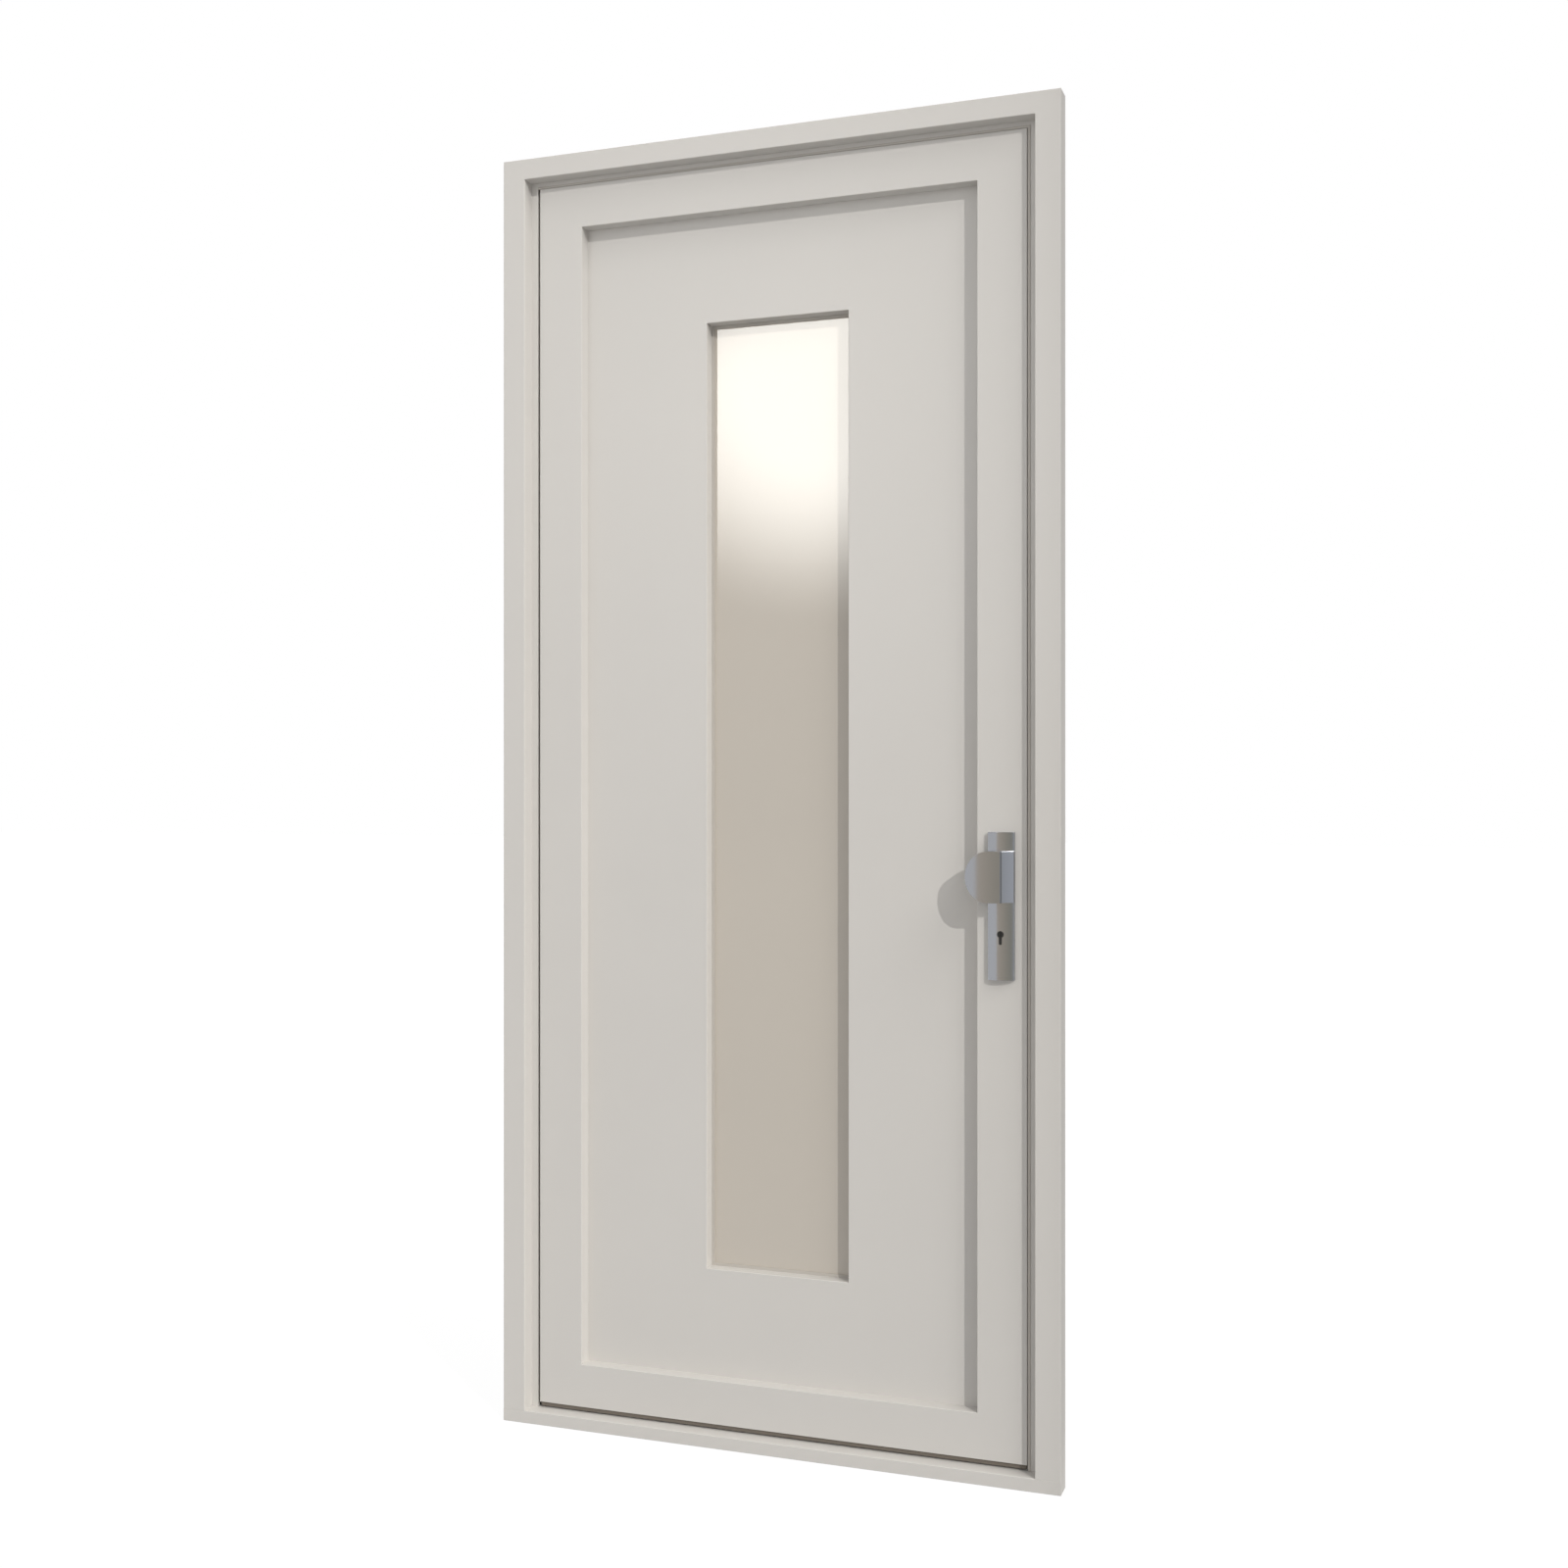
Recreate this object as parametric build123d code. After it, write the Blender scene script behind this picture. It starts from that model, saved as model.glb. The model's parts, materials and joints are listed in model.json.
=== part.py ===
"""Inward-opening front door in its frame, with a recessed panel, a tall narrow pane and a fixed knob.

Millimetres. +X runs to the right seen from outside, +Y runs into the house, +Z is up.
The origin is the middle of the sill's underside. Depths are measured back from the frame's outer face.
"""

import os

from build123d import *

# Frame
FRAME_WIDTH = 980.0
FRAME_HEIGHT = 2200.0
FRAME_DEPTH = 82.0
FLANGE_DEPTH = 36.7
WALL_SETBACK = 15.0
JAMB_FACE = 41.0
HEAD_FACE = 35.0
SILL_HEIGHT = 21.5
EDGE_RADIUS = 1.0

# Lip that closes the gap round the leaf, and the rebate behind it
LIP_DEPTH = 27.0
LIP_THICKNESS = 6.0
JAMB_LIP = 12.5
HEAD_LIP = 7.0
REBATE_SETBACK = 7.0

# Leaf
LEAF_FACE_DEPTH = 24.0
LEAF_GAP = 5.0
SILL_GAP = 10.0
STILE_FACE = 81.0
RAIL_FACE = 74.0
OVERLAP = 20.0
OVERLAP_THICKNESS = 18.0
OVERLAP_GAP = 5.0

# Infill panel in the leaf
PANEL_RECESS = 25.0
PANEL_REBATE = 15.0
PANEL_PLAY = 1.0
PANEL_BEAD_DEPTH = 8.0
PANEL_BEAD_WIDTH = 22.0
BEAD_CHAMFER = 3.0

# Glass in the infill panel
GLASS_WIDTH = 253.0
GLASS_HEIGHT = 1612.0
PANE_THICKNESS = 4.0
SPACER_DEPTH = 8.0
SPACER_WIDTH = 9.0
GLASS_REBATE = 12.0
GLASS_PLAY = 1.0
GLASS_BEAD_DEPTH = 7.5
GLASS_BEAD_WIDTH = 18.0
GASKET_WIDTH = 5.0
GASKET_DEPTH = 2.0

# Rubber seal round the rebate
SEAL_HEIGHT = 5.0
SEAL_DEPTH = 8.0

# Long plates outside and inside, with the lock cylinder through both
HANDLE_INSET = 40.3
PLATE_BOTTOM = 800.5
PLATE_WIDTH = 42.5
PLATE_HEIGHT = 235.5
PLATE_EDGE = 7.5
PLATE_CROWN = 5.0
KEYHOLE_RISE = 73.0
KEYHOLE_RADIUS = 5.5
KEYHOLE_SLOT = 5.0
KEYHOLE_DROP = 14.0
CYLINDER_PLAY = 0.2
CYLINDER_RECESS = 1.5
KEYWAY_WIDTH = 1.2
KEYWAY_HEIGHT = 8.0
KEYWAY_DEPTH = 6.0

# Knob: a D-shaped crowned wing on a wedge that covers the plate's width
KNOB_RISE = 164.5
KNOB_HEIGHT = 82.0
KNOB_STRAIGHT = 18.0
KNOB_REACH = 57.0
KNOB_RIGHT = 3.0
KNOB_PROUD = 30.0
KNOB_TIP_PROUD = 28.5
KNOB_CROWN = 3.5
WING_THICKNESS = 13.0
WEDGE_PROUD = 19.0
WEDGE_EDGE = 2.0

# Lever inside
LEVER_RADIUS = 9.0
LEVER_PROUD = 58.0
LEVER_BEND = 18.0
LEVER_LENGTH = 125.0
ROSE_RADIUS = 14.0
ROSE_DEPTH = 6.0

# Lock in the leaf's edge
LOCK_DEPTH = 62.0
FACEPLATE_WIDTH = 24.0
FACEPLATE_HEIGHT = 240.0
FACEPLATE_THICKNESS = 3.0
BOLT_THICKNESS = 12.0
BOLT_HEIGHT = 34.0
BOLT_LENGTH = 26.0
BOLT_PLAY = 0.3
LATCH_RISE = 50.0
LATCH_THROW = 6.0
DEAD_BOLT_DROP = 45.0
STRIKE_MARGIN = 4.0
KEEP_DEPTH = 14.0

# Hinges on the inside, left seen from outside
HINGE_INSET = 200.0
HINGE_HEIGHT = 110.0
KNUCKLE_RADIUS = 8.0
PIN_RADIUS = 5.0
PIN_PLAY = 0.05
KNUCKLE_PLAY = 0.5
KNUCKLE_HEIGHT = 42.0
HINGE_PLATE = 4.0
HINGE_AXIS_GAP = 14.0
HINGE_FOOT = 18.0
HINGE_WEB = 8.0
HINGE_WING = 62.0

# Screws through the jambs into the wall
SCREW_RADIUS = 3.75
SCREW_DEPTH = 58.0
SCREW_INSET = 200.0
SCREW_COUNT = 4

half_width = FRAME_WIDTH / 2
jamb_inside = half_width - JAMB_FACE
head_soffit = FRAME_HEIGHT - HEAD_FACE
lip_edge = jamb_inside - JAMB_LIP
head_lip_edge = head_soffit - HEAD_LIP
rebate_side = lip_edge + REBATE_SETBACK
rebate_top = head_lip_edge + REBATE_SETBACK

leaf_side = lip_edge - LEAF_GAP
leaf_top = head_lip_edge - LEAF_GAP
leaf_bottom = SILL_HEIGHT + SILL_GAP
overlap_face = FRAME_DEPTH + OVERLAP_GAP
leaf_back = overlap_face + OVERLAP_THICKNESS
leaf_middle = (leaf_bottom + leaf_top) / 2

sight_side = leaf_side - STILE_FACE
sight_bottom = leaf_bottom + RAIL_FACE
sight_top = leaf_top - RAIL_FACE
panel_face = LEAF_FACE_DEPTH + PANEL_RECESS
panel_back = leaf_back - PANEL_BEAD_DEPTH

glass_back = panel_back - GLASS_BEAD_DEPTH
inner_pane_face = glass_back - PANE_THICKNESS
spacer_face = inner_pane_face - SPACER_DEPTH
glass_face = spacer_face - PANE_THICKNESS
glass_side = GLASS_WIDTH / 2
glass_low = leaf_middle - GLASS_HEIGHT / 2
glass_high = leaf_middle + GLASS_HEIGHT / 2

handle_x = leaf_side - HANDLE_INSET
keyhole_z = PLATE_BOTTOM + KEYHOLE_RISE
knob_z = PLATE_BOTTOM + KNOB_RISE
plate_proud = PLATE_EDGE + PLATE_CROWN
lock_z = PLATE_BOTTOM + PLATE_HEIGHT / 2
latch_z = lock_z + LATCH_RISE
dead_bolt_z = lock_z - DEAD_BOLT_DROP

hinge_x = -(leaf_side + OVERLAP + HINGE_AXIS_GAP)
hinge_depth = leaf_back + HINGE_PLATE - KNUCKLE_RADIUS
hinge_heights = (leaf_bottom + HINGE_INSET, leaf_middle, leaf_top - HINGE_INSET)

FAR = 2 * FRAME_HEIGHT


def y_at(depth):
    """The Y of a depth behind the frame's outer face."""
    return depth - FRAME_DEPTH / 2


def face(half, low, high):
    """A rectangle in the door's plane, even about the middle."""
    return Pos(0, (low + high) / 2) * Rectangle(2 * half, high - low)


def prism(outline, front, back):
    """An outline in the door's plane, drawn in X and Z, between two depths."""
    return extrude(Plane.XZ.offset(-y_at(back)) * outline, back - front, dir=(0, -1, 0))


def upright(outline, low, high):
    """A plan outline, drawn in X and Y, between two heights."""
    return extrude(Pos(0, 0, low) * outline, high - low, dir=(0, 0, 1))


def ring(half, low, high, width, front, back):
    """A square ring in the door's plane: its outer edge and its width."""
    return prism(face(half, low, high) - face(half - width, low + width, high - width), front, back)


def front_edges(shape, depth):
    """The edges that lie on one plane parallel to the door."""
    return shape.edges().filter_by_position(Axis.Y, y_at(depth) - 0.01, y_at(depth) + 0.01)


def eased(bar, run, *depths):
    """Rounds the long edges of a bar that lie at the given depths."""
    edges = [edge for depth in depths for edge in front_edges(bar, depth).filter_by(run)]
    return fillet(edges, EDGE_RADIUS)


def mitred(blank, half, low, high, sight_half, sight_low, sight_high):
    """Cuts a ring at the lines from its outer corners to its inner corners: left, right, top, bottom."""
    outer_low, outer_high = (-half, low), (-half, high)
    inner_low, inner_high = (-sight_half, sight_low), (-sight_half, sight_high)
    left = Polygon(outer_low, inner_low, inner_high, outer_high, align=None)
    top = Polygon(outer_high, inner_high, (sight_half, sight_high), (half, high), align=None)
    bottom = Polygon(outer_low, (half, low), (sight_half, sight_low), inner_low, align=None)
    cutters = (left, mirror(left, Plane.YZ), top, bottom)
    return [blank & prism(cutter, -FAR, FAR) for cutter in cutters]


def make_frame():
    """Hinge jamb, lock jamb, head and sill: a flange outside, a lip and a rebate inside."""
    blank = prism(face(half_width, 0, FRAME_HEIGHT), 0, FLANGE_DEPTH)
    blank += prism(
        face(half_width - WALL_SETBACK, 0, FRAME_HEIGHT - WALL_SETBACK), FLANGE_DEPTH, FRAME_DEPTH
    )
    blank -= prism(face(jamb_inside, SILL_HEIGHT, head_soffit), 0, LIP_DEPTH)
    blank -= prism(face(lip_edge, SILL_HEIGHT, head_lip_edge), LIP_DEPTH, FRAME_DEPTH)
    blank -= prism(face(rebate_side, SILL_HEIGHT, rebate_top), LIP_DEPTH + LIP_THICKNESS, FRAME_DEPTH)
    slope = (FRAME_HEIGHT - head_lip_edge) / (half_width - lip_edge)
    mitre_foot = FRAME_HEIGHT - half_width * slope
    mitre_end = FRAME_HEIGHT + FAR * slope
    above_sill = face(FAR, SILL_HEIGHT, FAR)
    left_of_mitre = Polygon(
        (0, mitre_foot), (-half_width - FAR, mitre_end), (-half_width - FAR, 0), (0, 0), align=None
    )
    jamb_cutter = left_of_mitre & above_sill
    hinge_jamb = blank & prism(jamb_cutter, 0, FRAME_DEPTH)
    lock_jamb = blank & prism(mirror(jamb_cutter, Plane.YZ), 0, FRAME_DEPTH)
    sill = blank & prism(face(FAR, 0, SILL_HEIGHT), 0, FRAME_DEPTH)
    head = blank - hinge_jamb - lock_jamb - sill
    bars = (hinge_jamb, lock_jamb, head, sill)
    return [eased(bar, run, 0) for bar, run in zip(bars, (Axis.Z, Axis.Z, Axis.X, Axis.X))]


def screw_holes(side):
    """Clearance holes across one jamb, from the rebate to the wall."""
    pitch = (FRAME_HEIGHT - 2 * SCREW_INSET) / (SCREW_COUNT - 1)
    heights = [SCREW_INSET + i * pitch for i in range(SCREW_COUNT)]
    hole = Rot(0, 90, 0) * Cylinder(SCREW_RADIUS, 2 * JAMB_FACE + 2 * JAMB_LIP)
    return [Pos(side * half_width, y_at(SCREW_DEPTH), height) * hole for height in heights]


def make_seal():
    """Rubber round the rebate, on both jambs and the head, behind the lip."""
    front = LIP_DEPTH + LIP_THICKNESS
    outer = face(rebate_side, SILL_HEIGHT, rebate_top)
    inner = face(rebate_side - SEAL_HEIGHT, SILL_HEIGHT, rebate_top - SEAL_HEIGHT)
    return prism(outer - inner, front, front + SEAL_DEPTH)


def make_leaf_ring():
    """Hinge stile, lock stile, top rail and bottom rail, with the panel's rebate and the overlap inside."""
    blank = prism(face(leaf_side, leaf_bottom, leaf_top), LEAF_FACE_DEPTH, leaf_back)
    blank += prism(face(leaf_side + OVERLAP, leaf_bottom, leaf_top + OVERLAP), overlap_face, leaf_back)
    blank -= prism(face(sight_side, sight_bottom, sight_top), LEAF_FACE_DEPTH, panel_face)
    rebate = face(sight_side + PANEL_REBATE, sight_bottom - PANEL_REBATE, sight_top + PANEL_REBATE)
    blank -= prism(rebate, panel_face, leaf_back)
    bars = mitred(
        blank,
        leaf_side + OVERLAP,
        leaf_bottom - OVERLAP * RAIL_FACE / STILE_FACE,
        leaf_top + OVERLAP * RAIL_FACE / STILE_FACE,
        sight_side,
        sight_bottom,
        sight_top,
    )
    runs = (Axis.Z, Axis.Z, Axis.X, Axis.X)
    return [eased(bar, run, LEAF_FACE_DEPTH, leaf_back) for bar, run in zip(bars, runs)]


def make_panel():
    """Insulated infill panel with the stepped opening for the glass."""
    half = sight_side + PANEL_REBATE - PANEL_PLAY
    edge = PANEL_REBATE - PANEL_PLAY
    panel = prism(face(half, sight_bottom - edge, sight_top + edge), panel_face, panel_back)
    panel -= prism(face(glass_side, glass_low, glass_high), panel_face, panel_back)
    rebate = face(glass_side + GLASS_REBATE, glass_low - GLASS_REBATE, glass_high + GLASS_REBATE)
    panel -= prism(rebate, glass_face, panel_back)
    rim = front_edges(panel, panel_face).filter_by_position(Axis.X, -sight_side, sight_side)
    return fillet(rim.filter_by_position(Axis.Z, sight_bottom, sight_top), EDGE_RADIUS)


def make_beads(half, low, high, width, front, back):
    """Four mitred beads round an opening, with their inner edge eased on the room side."""
    bead = ring(half, low, high, width, front, back)
    inner = front_edges(bead, back).filter_by_position(Axis.X, -half + width / 2, half - width / 2)
    bead = chamfer(inner.filter_by_position(Axis.Z, low + width / 2, high - width / 2), BEAD_CHAMFER)
    return mitred(bead, half, low, high, half - width, low + width, high - width)


def make_glass():
    """Outer pane, spacer and inner pane of the sealed unit, and the gasket in front of it."""
    edge = GLASS_REBATE - GLASS_PLAY
    outline = face(glass_side + edge, glass_low - edge, glass_high + edge)
    outer_pane = prism(outline, glass_face, spacer_face)
    spacer = ring(
        glass_side + edge, glass_low - edge, glass_high + edge, SPACER_WIDTH, spacer_face, inner_pane_face
    )
    inner_pane = prism(outline, inner_pane_face, glass_back)
    gasket = ring(glass_side, glass_low, glass_high, GASKET_WIDTH, glass_face - GASKET_DEPTH, glass_face)
    return outer_pane, spacer, inner_pane, gasket


def keyhole(clearance):
    """Round hole with a slot below it, in the door's plane, made smaller by a clearance."""
    radius = KEYHOLE_RADIUS - clearance
    slot = KEYHOLE_SLOT - 2 * clearance
    drop = KEYHOLE_DROP - clearance
    stem = Pos(0, -drop / 2) * Rectangle(slot, drop)
    foot = Pos(0, -drop) * Circle(slot / 2)
    return Pos(handle_x, keyhole_z) * (Circle(radius) + stem + foot)


def plate_outline():
    """Plan of a long plate: straight sides and a crowned front, with its back on the leaf's face."""
    left, right = (-PLATE_WIDTH / 2, 0), (PLATE_WIDTH / 2, 0)
    left_shoulder, right_shoulder = (-PLATE_WIDTH / 2, -PLATE_EDGE), (PLATE_WIDTH / 2, -PLATE_EDGE)
    outline = Polyline(left_shoulder, left, right, right_shoulder)
    outline += ThreePointArc(left_shoulder, (0, -plate_proud), right_shoulder)
    return make_face(outline)


def make_plates():
    """The outside plate and the inside plate, each with its keyhole."""
    top = PLATE_BOTTOM + PLATE_HEIGHT
    outline = plate_outline()
    outside = upright(Pos(handle_x, y_at(LEAF_FACE_DEPTH)) * outline, PLATE_BOTTOM, top)
    inside = upright(Pos(handle_x, y_at(leaf_back)) * Rot(0, 0, 180) * outline, PLATE_BOTTOM, top)
    hole = prism(keyhole(0), LEAF_FACE_DEPTH - FAR, leaf_back + FAR)
    return outside - hole, inside - hole


def make_cylinder():
    """Lock cylinder through the stile, set a little below both plates, with its keyways."""
    front = LEAF_FACE_DEPTH - plate_proud + CYLINDER_RECESS
    back = leaf_back + plate_proud - CYLINDER_RECESS
    cylinder = prism(keyhole(CYLINDER_PLAY), front, back)
    keyway = Pos(handle_x, keyhole_z) * Rectangle(KEYWAY_WIDTH, KEYWAY_HEIGHT)
    return cylinder - prism(keyway, front, front + KEYWAY_DEPTH) - prism(keyway, back - KEYWAY_DEPTH, back)


def make_knob(outside_plate):
    """A D-shaped wing that stands clear of the stile, carried by a wedge across the plate."""
    plate_half = PLATE_WIDTH / 2
    tip = KNOB_RIGHT - KNOB_REACH
    back = KNOB_TIP_PROUD - WING_THICKNESS
    front_right, front_tip = (KNOB_RIGHT, -KNOB_PROUD), (tip, -KNOB_TIP_PROUD)
    crest = ((KNOB_RIGHT + tip) / 2, -(KNOB_PROUD + KNOB_TIP_PROUD) / 2 - KNOB_CROWN)
    outline = Polyline(
        front_tip,
        (tip, -back),
        (-plate_half, -back),
        (-plate_half, -PLATE_EDGE / 2),
        (plate_half, -PLATE_EDGE / 2),
        (plate_half, -PLATE_EDGE - WEDGE_EDGE),
        (KNOB_RIGHT, -WEDGE_PROUD),
        front_right,
    )
    plan = make_face(outline + ThreePointArc(front_right, crest, front_tip))
    low, high = knob_z - KNOB_HEIGHT / 2, knob_z + KNOB_HEIGHT / 2
    solid = upright(Pos(handle_x, y_at(LEAF_FACE_DEPTH)) * plan, low, high)

    bow_x = KNOB_RIGHT - KNOB_STRAIGHT
    right = Pos((bow_x + plate_half) / 2, 0) * Rectangle(plate_half - bow_x, KNOB_HEIGHT)
    bow = Pos(bow_x, 0) * Ellipse(KNOB_REACH - KNOB_STRAIGHT, KNOB_HEIGHT / 2)
    front = LEAF_FACE_DEPTH - KNOB_PROUD - KNOB_CROWN
    solid &= prism(Pos(handle_x, knob_z) * (right + bow), front, LEAF_FACE_DEPTH)
    return solid - outside_plate


def make_lever(inside_plate):
    """L-shaped round lever on a rose, level and turned towards the hinges."""
    seat = y_at(leaf_back) + PLATE_EDGE
    grip = y_at(leaf_back) + LEVER_PROUD
    corner = (handle_x, grip, knob_z)
    end = (handle_x - LEVER_LENGTH, grip, knob_z)
    path = FilletPolyline((handle_x, seat, knob_z), corner, end, radius=LEVER_BEND)
    lever = sweep(Plane(origin=path @ 0, z_dir=path % 0) * Circle(LEVER_RADIUS), path=path)
    on_end = (Align.CENTER, Align.CENTER, Align.MIN)
    rose = Cylinder(ROSE_RADIUS, PLATE_CROWN + ROSE_DEPTH, align=on_end)
    lever += Pos(handle_x, seat, knob_z) * Rot(-90, 0, 0) * rose
    return lever - inside_plate


def edge_slab(x_low, x_high, width, middle_z, height):
    """A slab in the lock's middle plane, given by its reach in X, its width in Y and its height."""
    return Pos((x_low + x_high) / 2, y_at(LOCK_DEPTH), middle_z) * Box(x_high - x_low, width, height)


def make_lock():
    """Faceplate, latch bolt and dead bolt in the lock stile's edge, and the pockets that they need."""
    plate_back = leaf_side - FACEPLATE_THICKNESS
    outside = leaf_side + FACEPLATE_THICKNESS
    pockets = edge_slab(plate_back, outside, FACEPLATE_WIDTH, lock_z, FACEPLATE_HEIGHT)
    faceplate = edge_slab(plate_back, leaf_side, FACEPLATE_WIDTH, lock_z, FACEPLATE_HEIGHT)
    bolts = []
    for middle_z, throw in ((latch_z, LATCH_THROW), (dead_bolt_z, 0)):
        bolt = edge_slab(leaf_side - BOLT_LENGTH, leaf_side + throw, BOLT_THICKNESS, middle_z, BOLT_HEIGHT)
        room = edge_slab(
            leaf_side - BOLT_LENGTH,
            outside,
            BOLT_THICKNESS + 2 * BOLT_PLAY,
            middle_z,
            BOLT_HEIGHT + 2 * BOLT_PLAY,
        )
        faceplate -= room
        pockets += room
        bolts.append(bolt)
    latch, dead_bolt = bolts
    nose = latch.edges().filter_by(Axis.Z).sort_by(Axis.X)[-2:].sort_by(Axis.Y)[-1]
    return faceplate, chamfer(nose, LATCH_THROW - BOLT_PLAY, BOLT_THICKNESS / 2), dead_bolt, pockets


def make_strike():
    """Strike plate let into the lock jamb, opposite the faceplate, and the recess that it needs."""
    back = rebate_side + FACEPLATE_THICKNESS
    plate = edge_slab(rebate_side, back, FACEPLATE_WIDTH, lock_z, FACEPLATE_HEIGHT)
    recess = edge_slab(rebate_side, back, FACEPLATE_WIDTH, lock_z, FACEPLATE_HEIGHT)
    for middle_z in (latch_z, dead_bolt_z):
        keep = edge_slab(
            rebate_side,
            rebate_side + KEEP_DEPTH,
            BOLT_THICKNESS + 2 * STRIKE_MARGIN,
            middle_z,
            BOLT_HEIGHT + 2 * STRIKE_MARGIN,
        )
        plate -= keep
        recess += keep
    return plate, recess


def hinge_barrel(radius, low, high):
    """A round piece on the hinge's axis between two heights."""
    return Pos(hinge_x, y_at(hinge_depth), low) * Cylinder(
        radius, high - low, align=(Align.CENTER, Align.CENTER, Align.MIN)
    )


def make_hinge(middle_z):
    """One hinge: two knuckles and the pin on the frame, and the middle knuckle on the leaf."""
    low, high = middle_z - HINGE_HEIGHT / 2, middle_z + HINGE_HEIGHT / 2
    knuckle_low, knuckle_high = middle_z - KNUCKLE_HEIGHT / 2, middle_z + KNUCKLE_HEIGHT / 2
    axis_y = y_at(hinge_depth)
    frame_y, leaf_y = y_at(FRAME_DEPTH), y_at(leaf_back)

    foot = Pos(hinge_x, frame_y + HINGE_PLATE / 2) * Rectangle(HINGE_FOOT, HINGE_PLATE)
    frame_half = upright(foot, low, high)
    web = Pos(hinge_x, (frame_y + axis_y) / 2) * Rectangle(HINGE_WEB, axis_y - frame_y)
    for start, end in ((low, knuckle_low - KNUCKLE_PLAY), (knuckle_high + KNUCKLE_PLAY, high)):
        frame_half += upright(web, start, end) + hinge_barrel(KNUCKLE_RADIUS, start, end)
    frame_half += hinge_barrel(PIN_RADIUS, low, high)

    wing_left = -(leaf_side + OVERLAP)
    wing = Pos(wing_left + HINGE_WING / 2, leaf_y + HINGE_PLATE / 2) * Rectangle(HINGE_WING, HINGE_PLATE)
    arm = Rectangle(wing_left - hinge_x, HINGE_PLATE)
    arm = Pos((hinge_x + wing_left) / 2, leaf_y + HINGE_PLATE / 2) * arm
    leaf_half = upright(wing, low, high) + upright(arm, knuckle_low, knuckle_high)
    leaf_half += hinge_barrel(KNUCKLE_RADIUS, knuckle_low, knuckle_high)
    leaf_half -= hinge_barrel(PIN_RADIUS + PIN_PLAY, knuckle_low, knuckle_high)
    return frame_half, leaf_half


def make_door():
    """Every piece of the door, by name."""
    pieces = {}
    hinge_jamb, lock_jamb, head, sill = make_frame()
    strike, strike_recess = make_strike()
    pieces["hinge_jamb"] = hinge_jamb - screw_holes(-1)
    pieces["lock_jamb"] = lock_jamb - screw_holes(1) - strike_recess
    pieces["frame_head"] = head
    pieces["threshold"] = sill
    pieces["frame_seal"] = make_seal()
    pieces["strike_plate"] = strike

    hinge_stile, lock_stile, top_rail, bottom_rail = make_leaf_ring()
    faceplate, latch, dead_bolt, lock_pockets = make_lock()
    cylinder_hole = prism(keyhole(0), LEAF_FACE_DEPTH, leaf_back)
    pieces["hinge_stile"] = hinge_stile
    pieces["lock_stile"] = lock_stile - lock_pockets - cylinder_hole
    pieces["top_rail"] = top_rail
    pieces["bottom_rail"] = bottom_rail
    pieces["infill_panel"] = make_panel()
    pieces["lock_faceplate"] = faceplate
    pieces["latch_bolt"] = latch
    pieces["dead_bolt"] = dead_bolt

    panel_reach = (sight_side + PANEL_REBATE, sight_bottom - PANEL_REBATE, sight_top + PANEL_REBATE)
    glass_reach = (glass_side + GLASS_REBATE, glass_low - GLASS_REBATE, glass_high + GLASS_REBATE)
    panel_beads = make_beads(*panel_reach, PANEL_BEAD_WIDTH, panel_back, leaf_back)
    glass_beads = make_beads(*glass_reach, GLASS_BEAD_WIDTH, glass_back, panel_back)
    for side, panel_bead, glass_bead in zip(("left", "right", "top", "bottom"), panel_beads, glass_beads):
        pieces[f"panel_bead_{side}"] = panel_bead
        pieces[f"glass_bead_{side}"] = glass_bead

    names = ("outer_pane", "glass_spacer", "inner_pane", "glass_gasket")
    pieces.update(zip(names, make_glass()))

    outside_plate, inside_plate = make_plates()
    pieces["outside_plate"] = outside_plate
    pieces["outside_knob"] = make_knob(outside_plate)
    pieces["lock_cylinder"] = make_cylinder()
    pieces["inside_plate"] = inside_plate
    pieces["inside_lever"] = make_lever(inside_plate)

    for place, height in zip(("lower", "middle", "upper"), hinge_heights):
        frame_half, leaf_half = make_hinge(height)
        pieces[f"{place}_hinge_frame_half"] = frame_half
        pieces[f"{place}_hinge_leaf_half"] = leaf_half
    return pieces


os.makedirs("parts", exist_ok=True)
for name, piece in make_door().items():
    export_step(piece, f"parts/{name}.step")
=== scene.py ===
import json
import math

import bmesh
import bpy
from mathutils import Matrix, Vector


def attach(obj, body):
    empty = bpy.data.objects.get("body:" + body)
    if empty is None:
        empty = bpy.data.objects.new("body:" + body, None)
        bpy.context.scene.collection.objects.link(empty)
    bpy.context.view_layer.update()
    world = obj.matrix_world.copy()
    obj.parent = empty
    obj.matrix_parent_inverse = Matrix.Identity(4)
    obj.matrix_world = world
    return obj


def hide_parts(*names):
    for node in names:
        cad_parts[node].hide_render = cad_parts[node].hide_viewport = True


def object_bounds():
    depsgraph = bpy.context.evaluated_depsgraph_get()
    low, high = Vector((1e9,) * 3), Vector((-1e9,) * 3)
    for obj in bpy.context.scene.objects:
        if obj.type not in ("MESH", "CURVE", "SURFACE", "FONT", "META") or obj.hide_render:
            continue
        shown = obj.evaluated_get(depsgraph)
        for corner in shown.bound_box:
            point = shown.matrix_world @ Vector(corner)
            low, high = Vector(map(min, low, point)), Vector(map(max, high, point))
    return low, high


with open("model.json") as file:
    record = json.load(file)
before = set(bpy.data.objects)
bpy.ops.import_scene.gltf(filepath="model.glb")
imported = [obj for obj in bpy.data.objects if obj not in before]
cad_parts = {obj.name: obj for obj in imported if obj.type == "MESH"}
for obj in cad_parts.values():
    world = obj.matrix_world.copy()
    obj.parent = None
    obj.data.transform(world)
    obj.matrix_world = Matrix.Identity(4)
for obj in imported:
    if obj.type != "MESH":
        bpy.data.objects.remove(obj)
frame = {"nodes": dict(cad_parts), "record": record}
cad_low, cad_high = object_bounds()

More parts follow.
